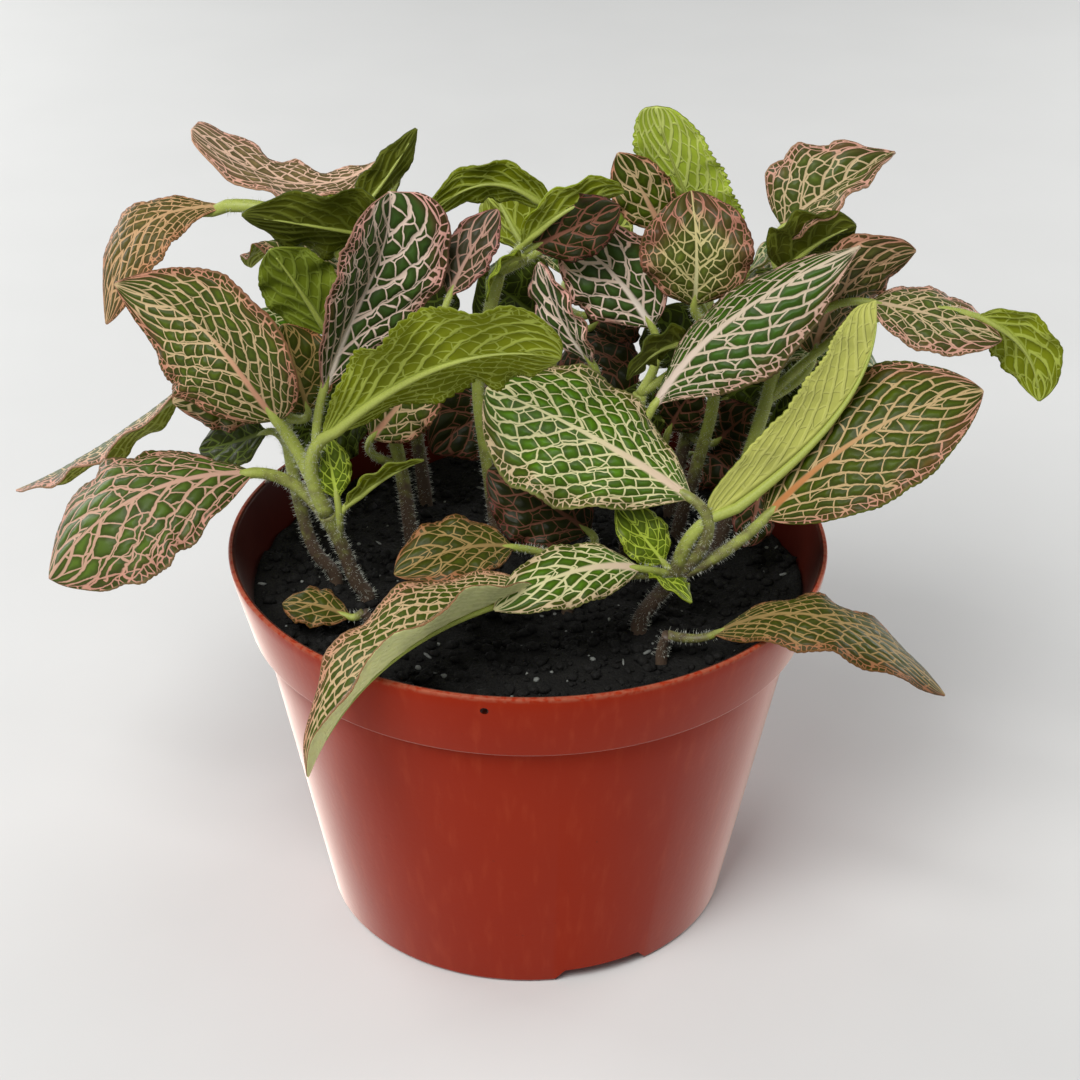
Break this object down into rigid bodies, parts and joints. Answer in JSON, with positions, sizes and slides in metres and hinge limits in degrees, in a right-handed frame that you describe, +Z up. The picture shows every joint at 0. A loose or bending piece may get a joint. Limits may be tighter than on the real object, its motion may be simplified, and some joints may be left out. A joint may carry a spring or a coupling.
{
  "type": "potted nerve plant",
  "caption": "Bushy potted nerve plant: ovate green leaves with pink and cream net veins on hairy stems, in soil in a tapered terracotta-coloured plastic pot.",
  "frame": {"origin": "centre of the pot's base, on the surface that it stands on; the whole plant's box is centred over it", "axes": "+Z up; the picture looks at the front from -Y, with +X to its right"},
  "size_m": [0.2066, 0.1307, 0.1652],
  "materials": {
    "pot_plastic": "satin moulded polypropylene, terracotta orange",
    "potting_mix": "damp dark peat crumbs with pale grit",
    "leaf": "soft satin green blade with cream and pink net veins, yellow-green underneath"
  },
  "bodies": {
    "root": {"pot": "pot_plastic", "potting_mix": "potting_mix", "front_right_shoot": "leaf", "left_shoot": "leaf", "left_rear_shoot": "leaf", "left_back_shoot": "leaf", "centre_shoot": "leaf", "right_back_shoot": "leaf", "right_middle_shoot": "leaf", "right_shoot": "leaf", "low_right_shoot": "leaf", "low_left_shoot": "leaf", "front_middle_shoot": "leaf", "rear_left_shoot": "leaf", "rear_middle_shoot": "leaf", "rear_right_shoot": "leaf"}
  },
  "joints": []
}
